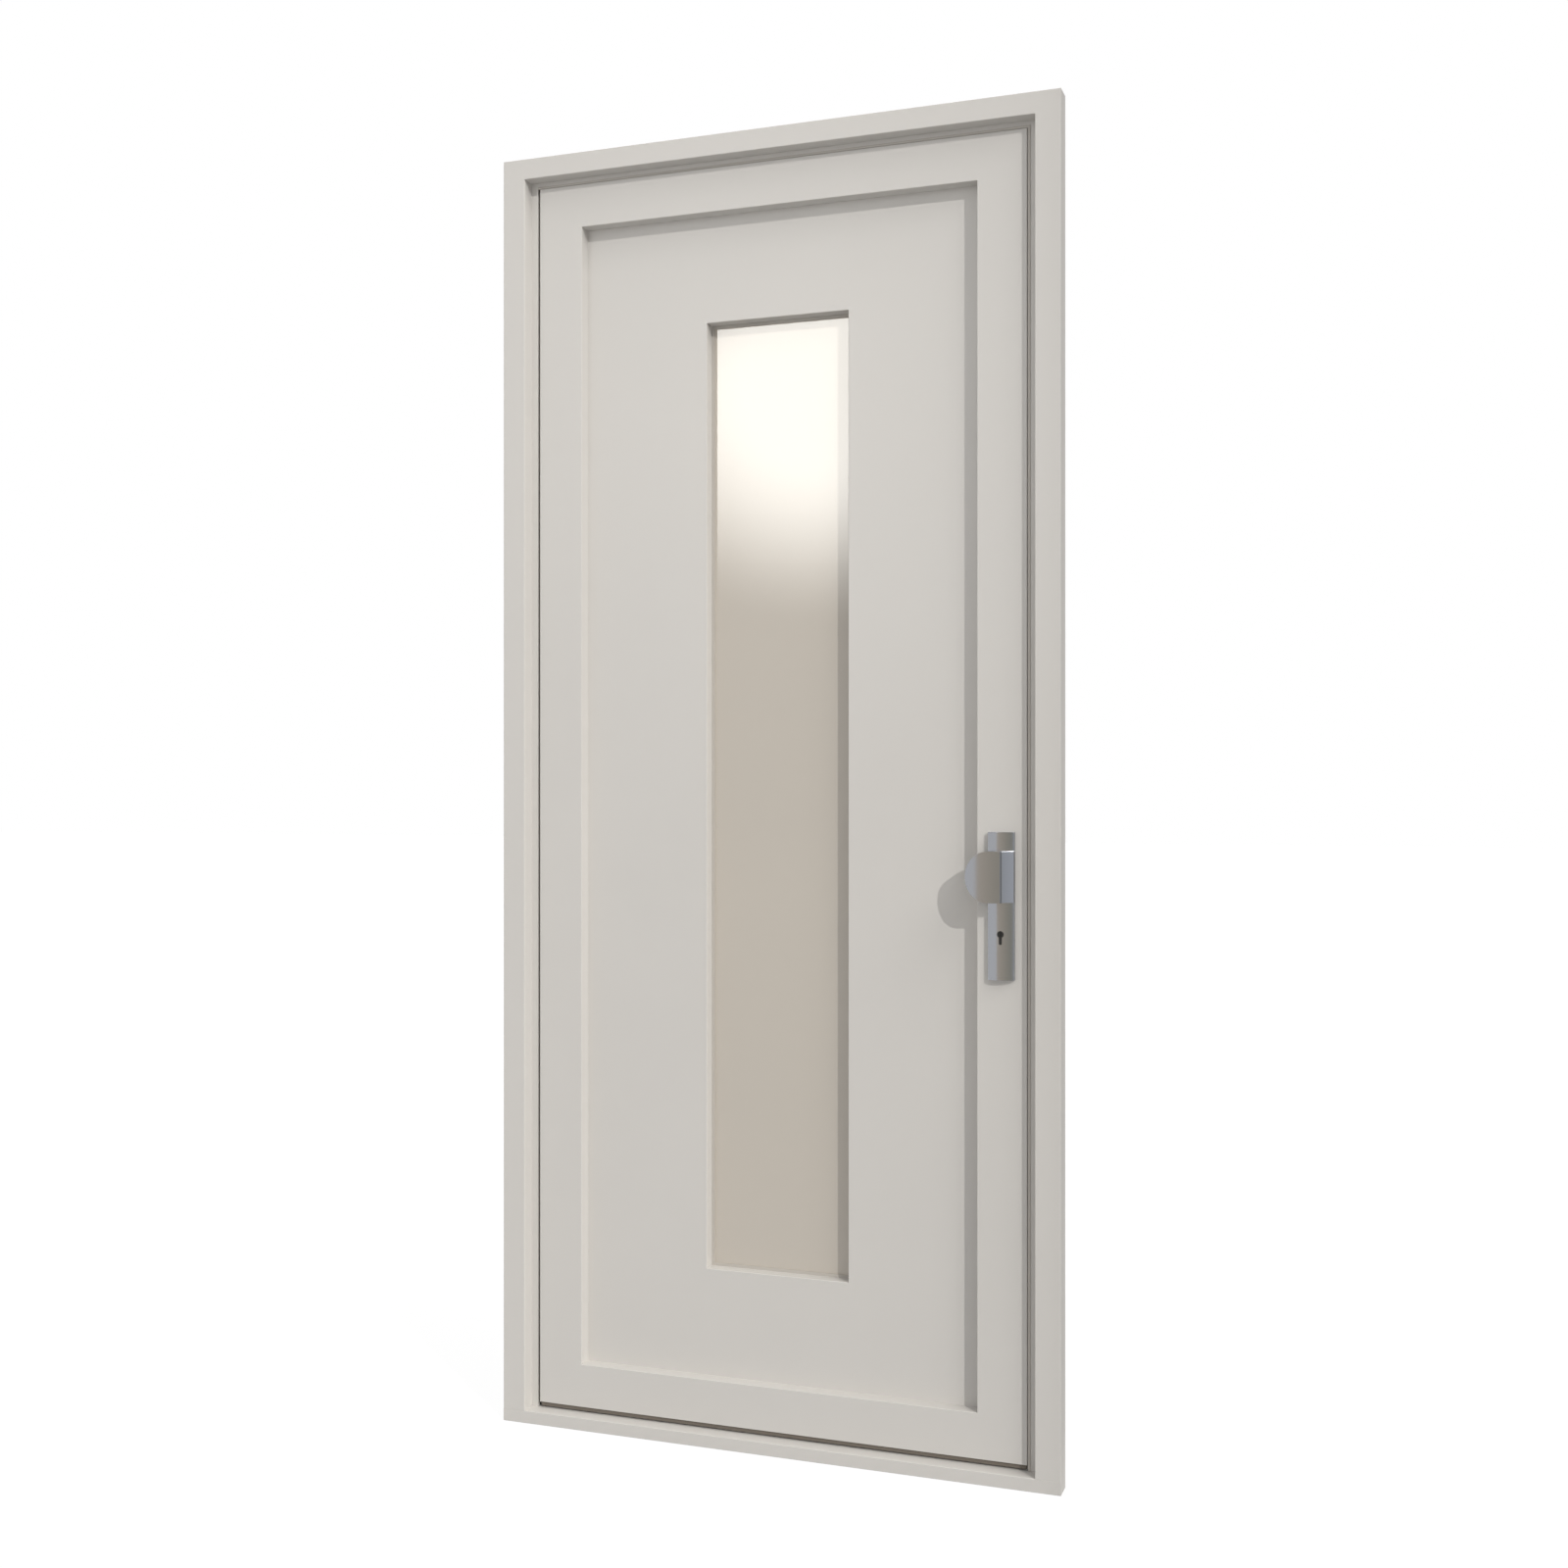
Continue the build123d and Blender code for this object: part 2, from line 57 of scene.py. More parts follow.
MM = 0.001
FRAME, LEAF = "frame", "leaf"
ACROSS, INWARDS, UP = Vector((1, 0, 0)), Vector((0, 1, 0)), Vector((0, 0, 1))
SHARP = math.radians(28)

# Sockets of a colour mix: its two colours and its result
MIX_FIRST, MIX_SECOND, MIX_RESULT = 6, 7, 2

# Faces of the frame and the leaf, as in the solids
FRAME_BACK = 41.0 * MM
LEAF_FRONT, LEAF_BACK = -17.0 * MM, 64.0 * MM
LEAF_SIDE, LEAF_LOW = 431.5 * MM, 31.5 * MM
LIP_SIDE, LIP_TOP = 436.5 * MM, 2158.0 * MM
REBATE_SIDE = 443.5 * MM
SILL_TOP = 21.5 * MM

# Long plates outside and inside
HANDLE_X = 391.2 * MM
PLATE_LOW, PLATE_HIGH = 800.5 * MM, 1036.0 * MM
PLATE_HALF = 21.25 * MM
PLATE_EDGE, PLATE_CROWN = 7.5 * MM, 5.0 * MM
PLATE_RIM, PLATE_EASE, PLATE_NEAR = 1.5 * MM, 0.9 * MM, 0.2 * MM
PLATE_SLICES = 24
KEYHOLE_Z = 873.5 * MM
KEYHOLE_RADIUS, KEYHOLE_DROP = 5.5 * MM, 14.0 * MM
SLOT_HALF = 2.5 * MM
KEYHOLE_STEPS, SLOT_STEPS = 32, 12

# Knob outside: distances across from the plate's middle and out from the leaf's face
KNOB_Z = 965.0 * MM
KNOB_HALF = 41.0 * MM
KNOB_RIGHT, KNOB_BOW, KNOB_TIP = 3.0 * MM, -15.0 * MM, -54.0 * MM
KNOB_PROUD, KNOB_TIP_PROUD, KNOB_CROWN = 30.0 * MM, 28.5 * MM, 3.5 * MM
KNOB_BACK = 15.5 * MM
KNOB_RIM, KNOB_EASE = 1.4 * MM, 0.8 * MM
BOW_STEPS = 64
KNOB_SLICES_ACROSS, KNOB_SLICES_UP = 24, 12
WEDGE_LEFT = -18.0 * MM
WEDGE_SEAT, WEDGE_EDGE, WEDGE_PROUD, WEDGE_SHOULDER = 4.0 * MM, 9.5 * MM, 19.0 * MM, 16.0 * MM

# Lever inside: its bar, the length and scale of each step of its domed end, and its rose
LEVER_RADIUS, LEVER_BEND = 9.0 * MM, 18.0 * MM
LEVER_REACH, LEVER_LENGTH = 58.0 * MM, 125.0 * MM
LEVER_SIDES, BEND_STEPS = 36, 14
LEVER_DOME = ((1.2 * MM, 0.97), (1.0 * MM, 0.88), (0.8 * MM, 0.7))
ROSE_RADIUS, ROSE_DEPTH = 14.0 * MM, 6.0 * MM
ROSE_EASE, ROSE_CORNER = 1.4 * MM, 0.4 * MM

# Hinges inside
HINGE_X, HINGE_Y = -465.5 * MM, 60.0 * MM
HINGE_HEIGHTS = {"lower": 231.5 * MM, "middle": 1092.25 * MM, "upper": 1953.0 * MM}
HINGE_HALF, KNUCKLE_HALF = 55.0 * MM, 21.0 * MM
KNUCKLE_RADIUS, KNUCKLE_GAP, KNUCKLE_EASE = 8.0 * MM, 0.5 * MM, 1.0 * MM
PIN_RADIUS, PIN_LAP = 5.0 * MM, 2.0 * MM
HINGE_PLATE, HINGE_EASE = 4.0 * MM, 0.6 * MM
FOOT_HALF, WEB_HALF = 9.0 * MM, 4.0 * MM
WING_LEFT, WING_RIGHT = -451.5 * MM, -389.5 * MM
ARM_LAP, ARM_SETBACK = 2.0 * MM, 0.2 * MM

# Screws: where they sit and the radii of their heads
LOCK_Y, LOCK_Z = 21.0 * MM, 918.25 * MM
SCREW_INSET, LOCK_SCREW_RISE = 16.0 * MM, 108.0 * MM
WING_SCREWS = (WING_LEFT + 20.0 * MM, WING_RIGHT - 12.0 * MM)
HINGE_SCREW, PLATE_SCREW, LOCK_SCREW = 4.5 * MM, 3.6 * MM, 4.0 * MM

# Soft strips in the gaps
STRIP_REACH, STRIP_EASE = 4.4 * MM, 1.0 * MM
STRIP_FRONT, STRIP_BACK = -15.6 * MM, -12.2 * MM
BOTTOM_STRIP_INSET, BOTTOM_STRIP_RISE = 1.5 * MM, 2.5 * MM
BOTTOM_STRIP_FRONT, BOTTOM_STRIP_BACK = -13.5 * MM, -8.0 * MM

# Camera, read from the photograph's perspective
CAMERA_PLACE = Vector((1.0106, -2.7805, 1.1125))
CAMERA_YAW = math.radians(19.68)
LENS = 40.5
SENSOR = 36.0

# Studio light
SUN_TOWARDS = Vector((1.1, -1.0, 0.8))
SUN_STRENGTH = 1.36
SUN_ANGLE = math.radians(0.6)
SIDE_TOWARDS = Vector((0.8, -0.3, 0.9))
SIDE_STRENGTH = 1.3
SIDE_ANGLE = math.radians(30)
BACK_TOWARDS = Vector((-0.5, 1.0, 0.5))
BACK_STRENGTH = 1.1
BACK_ANGLE = math.radians(40)
WORLD_STRENGTH = 0.605
CARD_MIDDLE = Vector((-0.95, -3.0, 2.5))
CARD_REACH, CARD_CORE = 0.85, 0.3
CARD_STRENGTH = 13.0
SCREEN_LEFT, SCREEN_RIGHT = -0.21, 1.6
SCREEN_Y, SCREEN_Z = -1.2, 0.85
SCREEN_HEIGHT = 1.2
SCREEN_DARKEST = 0.75
FLAG_X, FLAG_Z = 0.56, 1.1
FLAG_FRONT, FLAG_BACK = -0.1, 0.7
FLAG_HEIGHT = 2.6
FLOOR_REACH, FLOOR_DROP = 30.0, 0.5 * MM
FLOOR_WHITE_SHARE, FLOOR_WHITE = 0.8, 1.16


def linear(colour):
    """An sRGB hex colour as linear RGBA."""
    channels = [int(colour[i:i + 2], 16) / 255 for i in (1, 3, 5)]
    return [c / 12.92 if c <= 0.04045 else ((c + 0.055) / 1.055) ** 2.4 for c in channels] + [1.0]


def add_node(tree, kind, inputs=(), **settings):
    """Adds a node. inputs gives each socket a value or another node's output."""
    node = tree.nodes.new(kind)
    for name, value in settings.items():
        setattr(node, name, value)
    for socket, value in dict(inputs).items():
        if isinstance(value, bpy.types.NodeSocket):
            tree.links.new(value, node.inputs[socket])
        else:
            node.inputs[socket].default_value = value
    return node


def new_material(name):
    """An empty node material and its tree."""
    material = bpy.data.materials.new(name)
    material.use_nodes = True
    material.node_tree.nodes.clear()
    return material, material.node_tree


def close_material(tree, shader):
    """Links the finished shader to the output."""
    add_node(tree, "ShaderNodeOutputMaterial", {"Surface": shader.outputs[0]})


def powder_coat():
    """Satin powder coat on aluminium, sprayed and baked: an even warm grey with a faint orange peel."""
    material, tree = new_material("satin_powder_coat")
    place = add_node(tree, "ShaderNodeTexCoord").outputs["Object"]
    cloud = add_node(tree, "ShaderNodeTexNoise", {
        "Vector": place, "Scale": 1 / (250 * MM), "Detail": 2.0,
    })
    shade = add_node(tree, "ShaderNodeMix", {
        "Factor": cloud.outputs["Fac"],
        MIX_FIRST: linear("#cbc8c4"),
        MIX_SECOND: linear("#cfccc8"),
    }, data_type="RGBA")
    gloss = add_node(tree, "ShaderNodeMapRange", {
        "Value": cloud.outputs["Fac"], "To Min": 0.42, "To Max": 0.52,
    })
    peel = add_node(tree, "ShaderNodeTexNoise", {
        "Vector": place, "Scale": 1 / (1.6 * MM), "Detail": 1.0,
    })
    bump = add_node(tree, "ShaderNodeBump", {
        "Height": peel.outputs["Fac"], "Strength": 0.06, "Distance": 0.05 * MM,
    })
    close_material(tree, add_node(tree, "ShaderNodeBsdfPrincipled", {
        "Base Color": shade.outputs[MIX_RESULT],
        "Roughness": gloss.outputs["Result"],
        "Normal": bump.outputs["Normal"],
        "Specular IOR Level": 0.35,
        "IOR": 1.5,
    }))
    return material


def satin_glass():
    """Float glass etched on its hidden face: a milky warm body under a polished outer face."""
    material, tree = new_material("satin_etched_glass")
    place = add_node(tree, "ShaderNodeTexCoord").outputs["Object"]
    haze = add_node(tree, "ShaderNodeTexNoise", {
        "Vector": place, "Scale": 1 / (400 * MM), "Detail": 1.0,
    })
    body = add_node(tree, "ShaderNodeMix", {
        "Factor": haze.outputs["Fac"],
        MIX_FIRST: linear("#bbb4aa"),
        MIX_SECOND: linear("#c0b8ad"),
    }, data_type="RGBA")
    etch = add_node(tree, "ShaderNodeTexNoise", {
        "Vector": place, "Scale": 1 / (0.8 * MM), "Detail": 2.0,
    })
    frost = add_node(tree, "ShaderNodeBump", {
        "Height": etch.outputs["Fac"], "Strength": 0.05, "Distance": 0.02 * MM,
    })
    close_material(tree, add_node(tree, "ShaderNodeBsdfPrincipled", {
        "Base Color": body.outputs[MIX_RESULT],
        "Roughness": 0.6,
        "Specular IOR Level": 0.2,
        "Normal": frost.outputs["Normal"],
        "IOR": 1.52,
        "Coat Weight": 1.0,
        "Coat Roughness": 0.02,
        "Coat IOR": 1.52,
    }))
    return material


def brushed_metal(name, colour, roughness, line_mm):
    """Metal with upright brush lines, drawn coarse enough to show, that stretch its highlights."""
    material, tree = new_material(name)
    place = add_node(tree, "ShaderNodeTexCoord").outputs["Object"]
    along = add_node(tree, "ShaderNodeMapping", {
        "Vector": place, "Scale": (1.0, 1.0, 0.01),
    })
    lines = add_node(tree, "ShaderNodeTexNoise", {
        "Vector": along.outputs["Vector"], "Scale": 1 / (line_mm * MM), "Detail": 2.0,
    })
    gloss = add_node(tree, "ShaderNodeMapRange", {
        "Value": lines.outputs["Fac"], "To Min": roughness - 0.05, "To Max": roughness + 0.05,
    })
    bump = add_node(tree, "ShaderNodeBump", {
        "Height": lines.outputs["Fac"], "Strength": 0.08, "Distance": 0.03 * MM,
    })
    close_material(tree, add_node(tree, "ShaderNodeBsdfPrincipled", {
        "Base Color": linear(colour),
        "Metallic": 1.0,
        "Roughness": gloss.outputs["Result"],
        "Normal": bump.outputs["Normal"],
    }))
    return material


def dull_body(name, colour, roughness, grain_mm):
    """Moulded rubber, or a blackened face: one even colour with a fine dull grain."""
    material, tree = new_material(name)
    place = add_node(tree, "ShaderNodeTexCoord").outputs["Object"]
    grain = add_node(tree, "ShaderNodeTexNoise", {
        "Vector": place, "Scale": 1 / (grain_mm * MM), "Detail": 2.0,
    })
    gloss = add_node(tree, "ShaderNodeMapRange", {
        "Value": grain.outputs["Fac"], "To Min": roughness - 0.06, "To Max": roughness + 0.06,
    })
    bump = add_node(tree, "ShaderNodeBump", {
        "Height": grain.outputs["Fac"], "Strength": 0.1, "Distance": 0.05 * MM,
    })
    close_material(tree, add_node(tree, "ShaderNodeBsdfPrincipled", {
        "Base Color": linear(colour),
        "Roughness": gloss.outputs["Result"],
        "Normal": bump.outputs["Normal"],
    }))
    return material


FINISHES = {
    "painted_door": powder_coat(),
    "satin_glass": satin_glass(),
    "satin_steel": brushed_metal("satin_stainless_steel", "#9a9ca1", roughness=0.2, line_mm=0.5),
    "zinc_steel": brushed_metal("zinc_plated_steel", "#a3a4a6", roughness=0.38, line_mm=0.7),
    "black_cylinder": dull_body("blackened_cylinder", "#0d0d0d", roughness=0.5, grain_mm=0.6),
    "grey_rubber": dull_body("warm_grey_rubber", "#6f675e", roughness=0.7, grain_mm=0.8),
    "pale_gasket": dull_body("pale_gasket_rubber", "#b9b4ad", roughness=0.6, grain_mm=0.8),
    "spacer_bar": brushed_metal("mill_aluminium", "#b5b5b5", roughness=0.4, line_mm=0.7),
}
for subpart in frame["record"]["subparts"]:
    mesh = frame["nodes"][subpart["node"]].data
    mesh.materials.clear()
    mesh.materials.append(FINISHES[subpart["material_slot"]])


def verts_of(geometry):
    """The vertices among the elements that an operator made."""
    return [element for element in geometry if isinstance(element, bmesh.types.BMVert)]


def edges_of(geometry):
    """The edges among the elements that an operator made."""
    return [element for element in geometry if isinstance(element, bmesh.types.BMEdge)]


def sharp_edges(shape):
    """The edges where two faces meet at more than a gentle bend."""
    bmesh.ops.recalc_face_normals(shape, faces=shape.faces)
    return [e for e in shape.edges if len(e.link_faces) == 2 and e.calc_face_angle() > SHARP]


def ease(shape, radius, edges):
    """Rounds edges by a small radius."""
    bmesh.ops.bevel(
        shape, geom=edges, offset=radius, offset_type="OFFSET", affect="EDGES",
        segments=2, profile=0.5, material=-1, clamp_overlap=True,
    )


def add_prism(shape, points, sweep):
    """A closed prism: a flat outline swept along a vector."""
    face = shape.faces.new([shape.verts.new(point) for point in points])
    grown = bmesh.ops.extrude_face_region(shape, geom=[face], use_keep_orig=True)["geom"]
    bmesh.ops.translate(shape, verts=verts_of(grown), vec=sweep)


def add_box(shape, low, high):
    """A box between two corners."""
    corners = [(low[0], low[1]), (high[0], low[1]), (high[0], high[1]), (low[0], high[1])]
    add_prism(shape, [Vector((x, y, low[2])) for x, y in corners], UP * (high[2] - low[2]))


def add_turned(shape, profile, place, axis, steps):
    """A turned piece: a profile of radii and heights spun about an axis."""
    turn = UP.rotation_difference(axis).to_matrix()
    verts = [shape.verts.new(place + turn @ Vector((radius, 0, height))) for radius, height in profile]
    edges = [shape.edges.new(pair) for pair in zip(verts, verts[1:])]
    bmesh.ops.spin(
        shape, geom=verts + edges, cent=place, axis=axis, angle=2 * math.pi, steps=steps, use_merge=True
    )
    bmesh.ops.remove_doubles(shape, verts=shape.verts, dist=0.005 * MM)


def add_screw(shape, place, axis, radius):
    """A countersunk screw head with a round-bottomed socket."""
    add_turned(shape, [
        (0, -0.3 * radius), (0.3 * radius, -0.25 * radius), (0.36 * radius, 0.08 * radius),
        (0.8 * radius, 0.06 * radius), (radius, 0.0), (radius, -0.1 * radius),
    ], place, axis, steps=24)


def add_loop(shape, points):
    """A closed loop of edges through points."""
    verts = [shape.verts.new(point) for point in points]
    for pair in zip(verts, verts[1:] + verts[:1]):
        shape.edges.new(pair)


def slice_faces(shape, axis, cuts):
    """Cuts flat faces into small ones across an axis, so that they can be bent and shaded evenly."""
    for cut in cuts:
        geometry = shape.verts[:] + shape.edges[:] + shape.faces[:]
        bmesh.ops.bisect_plane(shape, geom=geometry, plane_co=axis * cut, plane_no=axis, dist=0.001 * MM)


def steps_between(low, high, count):
    """Even steps between two values, without the ends."""
    return [low + (high - low) * i / count for i in range(1, count)]


def new_piece(name, shape, slot, body, *stands_for):
    """Turns a finished shape into a piece that rides on a body."""
    for edge in shape.edges:
        edge.smooth = True
    for edge in sharp_edges(shape):
        edge.smooth = False
    for face in shape.faces:
        face.smooth = True
    mesh = bpy.data.meshes.new(name)
    shape.to_mesh(mesh)
    shape.free()
    mesh.materials.append(FINISHES[slot])
    piece = bpy.data.objects.new(name, mesh)
    bpy.context.collection.objects.link(piece)
    even = piece.modifiers.new("even_shading", "WEIGHTED_NORMAL")
    even.keep_sharp = True
    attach(piece, body)
    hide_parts(*stands_for)


def keyhole_outline():
    """A round hole with a round-ended slot below it."""
    meet = math.asin(SLOT_HALF / KEYHOLE_RADIUS)
    points = []
    for i in range(KEYHOLE_STEPS + 1):
        turn = meet + (2 * math.pi - 2 * meet) * i / KEYHOLE_STEPS
        rise = -KEYHOLE_RADIUS * math.cos(turn)
        points.append(Vector((KEYHOLE_RADIUS * math.sin(turn), 0, KEYHOLE_Z + rise)))
    for i in range(SLOT_STEPS + 1):
        turn = math.pi * i / SLOT_STEPS
        rise = -KEYHOLE_DROP - SLOT_HALF * math.sin(turn)
        points.append(Vector((-SLOT_HALF * math.cos(turn), 0, KEYHOLE_Z + rise)))
    return points


def on_outer_edge(edge):
    """Whether an edge of the plate's front lies on its outline, and not round the keyhole."""
    low, high = PLATE_LOW + PLATE_NEAR, PLATE_HIGH - PLATE_NEAR
    at_side = any(abs(vert.co.x) > PLATE_HALF - PLATE_NEAR for vert in edge.verts)
    return at_side or all(vert.co.z < low or vert.co.z > high for vert in edge.verts)


def make_plate(name, seat, outwards):
    """A long plate with a crowned front, eased edges and a keyhole."""
    shape = bmesh.new()
    corners = [(-PLATE_HALF, PLATE_LOW), (PLATE_HALF, PLATE_LOW)]
    corners += [(PLATE_HALF, PLATE_HIGH), (-PLATE_HALF, PLATE_HIGH)]
    add_loop(shape, [Vector((x, 0, z)) for x, z in corners])
    add_loop(shape, keyhole_outline())
    bmesh.ops.triangle_fill(shape, edges=shape.edges[:], use_beauty=True, use_dissolve=False)
    slice_faces(shape, ACROSS, steps_between(-PLATE_HALF, PLATE_HALF, PLATE_SLICES))
    slice_faces(shape, UP, [PLATE_LOW + PLATE_RIM, PLATE_HIGH - PLATE_RIM])
    slice_faces(shape, UP, steps_between(PLATE_LOW, PLATE_HIGH, PLATE_SLICES))
    bend = (PLATE_HALF ** 2 + PLATE_CROWN ** 2) / (2 * PLATE_CROWN)
    for vert in shape.verts:
        vert.co.y = PLATE_EDGE + PLATE_CROWN - bend + math.sqrt(bend ** 2 - vert.co.x ** 2)
    rim = [edge for edge in shape.edges if edge.is_boundary]
    outer = [edge for edge in rim if on_outer_edge(edge)]
    for vert in verts_of(bmesh.ops.extrude_edge_only(shape, edges=rim)["geom"]):
        vert.co.y = 0
    ease(shape, PLATE_EASE, outer)
    for vert in shape.verts:
        vert.co = Vector((HANDLE_X + vert.co.x, seat + outwards * vert.co.y, vert.co.z))
    new_piece(name + "_smooth", shape, "satin_steel", LEAF, name)


def make_knob():
    """The D-shaped wing with its crowned front, and the wedge that carries it."""
    shape = bmesh.new()
    outline = [Vector((KNOB_RIGHT, 0, -KNOB_HALF)), Vector((KNOB_RIGHT, 0, KNOB_HALF))]
    for i in range(BOW_STEPS + 1):
        turn = math.pi / 2 + math.pi * i / BOW_STEPS
        reach = (KNOB_BOW - KNOB_TIP) * math.cos(turn)
        outline.append(Vector((KNOB_BOW + reach, 0, KNOB_HALF * math.sin(turn))))
    front = shape.faces.new([shape.verts.new(point) for point in outline])
    bmesh.ops.inset_region(
        shape, faces=[front], thickness=KNOB_RIM, use_boundary=True, use_even_offset=True
    )
    slice_faces(shape, ACROSS, steps_between(KNOB_TIP, KNOB_RIGHT, KNOB_SLICES_ACROSS))
    slice_faces(shape, UP, steps_between(-KNOB_HALF, KNOB_HALF, KNOB_SLICES_UP))
    middle, half = (KNOB_TIP + KNOB_RIGHT) / 2, (KNOB_RIGHT - KNOB_TIP) / 2
    mean, slope = (KNOB_PROUD + KNOB_TIP_PROUD) / 2, (KNOB_PROUD - KNOB_TIP_PROUD) / 2
    for vert in shape.verts:
        across = (vert.co.x - middle) / half
        vert.co.y = mean + slope * across + KNOB_CROWN * (1 - across ** 2)
    grown = bmesh.ops.extrude_face_region(shape, geom=shape.faces[:], use_keep_orig=True)["geom"]
    for vert in verts_of(grown):
        vert.co.y = KNOB_BACK
    ease(shape, KNOB_EASE, sharp_edges(shape))

    wing_edges = set(shape.edges)
    plan = [(WEDGE_LEFT, WEDGE_SEAT), (PLATE_HALF, WEDGE_SEAT), (PLATE_HALF, WEDGE_EDGE)]
    plan += [(KNOB_RIGHT, WEDGE_PROUD), (KNOB_RIGHT, WEDGE_SHOULDER), (WEDGE_LEFT, WEDGE_SHOULDER)]
    add_prism(shape, [Vector((x, y, -KNOB_HALF)) for x, y in plan], UP * (2 * KNOB_HALF))
    ease(shape, KNOB_EASE, [edge for edge in sharp_edges(shape) if edge not in wing_edges])
    for vert in shape.verts:
        vert.co = Vector((HANDLE_X + vert.co.x, LEAF_FRONT - vert.co.y, KNOB_Z + vert.co.z))
    new_piece("outside_knob_smooth", shape, "satin_steel", LEAF, "outside_knob")


def lengthen(shape, ring, move):
    """Draws a tube on from its open end along a vector, and gives the new end's edges."""
    made = bmesh.ops.extrude_edge_only(shape, edges=ring)["geom"]
    bmesh.ops.translate(shape, verts=verts_of(made), vec=move)
    return [edge for edge in edges_of(made) if edge.is_boundary]


def make_lever():
    """A round bar bent to a lever, with a domed end, on a turned rose."""
    shape = bmesh.new()
    start = Vector((HANDLE_X, LEAF_BACK + PLATE_EDGE, KNOB_Z))
    turn = Matrix.Translation(start) @ Matrix.Rotation(-math.pi / 2, 4, "X")
    bmesh.ops.create_circle(
        shape, cap_ends=False, radius=LEVER_RADIUS, segments=LEVER_SIDES, matrix=turn
    )
    ring = lengthen(shape, shape.edges[:], INWARDS * (LEVER_REACH - PLATE_EDGE - LEVER_BEND))
    centre = Vector((HANDLE_X - LEVER_BEND, LEAF_BACK + LEVER_REACH - LEVER_BEND, KNOB_Z))
    verts = list({vert for edge in ring for vert in edge.verts})
    bent = bmesh.ops.spin(
        shape, geom=verts + ring, cent=centre, axis=UP, angle=math.pi / 2, steps=BEND_STEPS
    )["geom_last"]
    dome_length = sum(step for step, scale in LEVER_DOME)
    ring = lengthen(shape, edges_of(bent), ACROSS * (LEVER_BEND + dome_length - LEVER_LENGTH))
    for step, scale in LEVER_DOME:
        ring = lengthen(shape, ring, -ACROSS * step)
        tip = list({vert for edge in ring for vert in edge.verts})
        middle = sum((vert.co for vert in tip), Vector()) / len(tip)
        for vert in tip:
            vert.co = middle + (vert.co - middle) * scale
    bmesh.ops.contextual_create(shape, geom=ring)
    top = PLATE_CROWN + ROSE_DEPTH
    add_turned(shape, [
        (0, top),
        (ROSE_RADIUS - ROSE_EASE, top),
        (ROSE_RADIUS - ROSE_CORNER, top - ROSE_CORNER),
        (ROSE_RADIUS, top - ROSE_EASE),
        (ROSE_RADIUS, 0),
    ], start, INWARDS, steps=48)
    new_piece("inside_lever_smooth", shape, "satin_steel", LEAF, "inside_lever")


def add_barrel(shape, low, high, radius):
    """An upright round piece on the hinge's axis, with eased ends."""
    end_radius = radius - KNUCKLE_EASE
    add_turned(shape, [
        (0, low),
        (end_radius, low),
        (radius, low + KNUCKLE_EASE),
        (radius, high - KNUCKLE_EASE),
        (end_radius, high),
        (0, high),
    ], Vector((HINGE_X, HINGE_Y, 0)), UP, steps=40)


def make_hinge(place, middle):
    """One hinge: two knuckles on the frame's foot, the middle one on the leaf's plate, and its screws."""
    frame_half, leaf_half = f"{place}_hinge_frame_half", f"{place}_hinge_leaf_half"
    low, high = middle - HINGE_HALF, middle + HINGE_HALF
    inner_low, inner_high = middle - KNUCKLE_HALF, middle + KNUCKLE_HALF
    foot_face, wing_face = FRAME_BACK + HINGE_PLATE, LEAF_BACK + HINGE_PLATE
    outer_knuckles = ((low, inner_low - KNUCKLE_GAP), (inner_high + KNUCKLE_GAP, high))

    shape = bmesh.new()
    add_box(shape, (HINGE_X - FOOT_HALF, FRAME_BACK, low), (HINGE_X + FOOT_HALF, foot_face, high))
    for start, end in outer_knuckles:
        web_start = (HINGE_X - WEB_HALF, foot_face - HINGE_PLATE / 2, start)
        add_box(shape, web_start, (HINGE_X + WEB_HALF, HINGE_Y, end))
    ease(shape, HINGE_EASE, sharp_edges(shape))
    for start, end in outer_knuckles:
        add_barrel(shape, start, end, KNUCKLE_RADIUS)
    add_barrel(shape, inner_low - PIN_LAP, inner_high + PIN_LAP, PIN_RADIUS)
    new_piece(frame_half + "_smooth", shape, "satin_steel", FRAME, frame_half)

    shape = bmesh.new()
    add_box(shape, (WING_LEFT, LEAF_BACK, low), (WING_RIGHT, wing_face, high))
    arm_start = (HINGE_X, LEAF_BACK + ARM_SETBACK, inner_low)
    add_box(shape, arm_start, (WING_LEFT + ARM_LAP, wing_face - ARM_SETBACK, inner_high))
    ease(shape, HINGE_EASE, sharp_edges(shape))
    add_barrel(shape, inner_low, inner_high, KNUCKLE_RADIUS)
    new_piece(leaf_half + "_smooth", shape, "satin_steel", LEAF, leaf_half)

    shape = bmesh.new()
    for x in WING_SCREWS:
        for z in (low + SCREW_INSET, high - SCREW_INSET):
            add_screw(shape, Vector((x, wing_face, z)), INWARDS, HINGE_SCREW)
    new_piece(f"{place}_hinge_screws", shape, "zinc_steel", LEAF)


